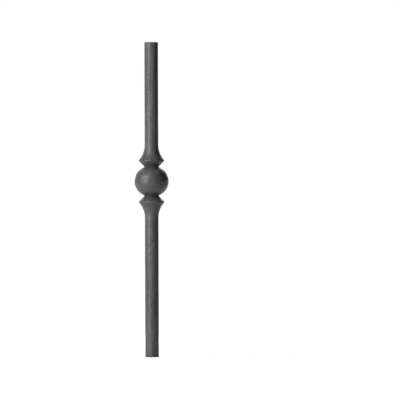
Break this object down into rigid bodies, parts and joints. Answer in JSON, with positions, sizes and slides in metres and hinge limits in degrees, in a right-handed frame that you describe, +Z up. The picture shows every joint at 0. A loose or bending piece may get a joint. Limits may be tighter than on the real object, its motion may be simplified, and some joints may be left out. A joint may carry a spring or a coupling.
{
  "type": "iron stair baluster",
  "caption": "Round forged-iron stair baluster: a plain bar with a ball between flared collars, made to be set between tread and handrail.",
  "frame": {"origin": "centre of the bottom end's face, on the bar's axis", "axes": "+Z up the bar, from the end in the tread to the end under the handrail; X and Y are alike, because the part is round"},
  "size_m": [0.0399, 0.0398, 0.369],
  "materials": {
    "iron": "dull dark grey forge scale, unpainted"
  },
  "bodies": {
    "root": {"baluster": "iron"}
  },
  "joints": []
}
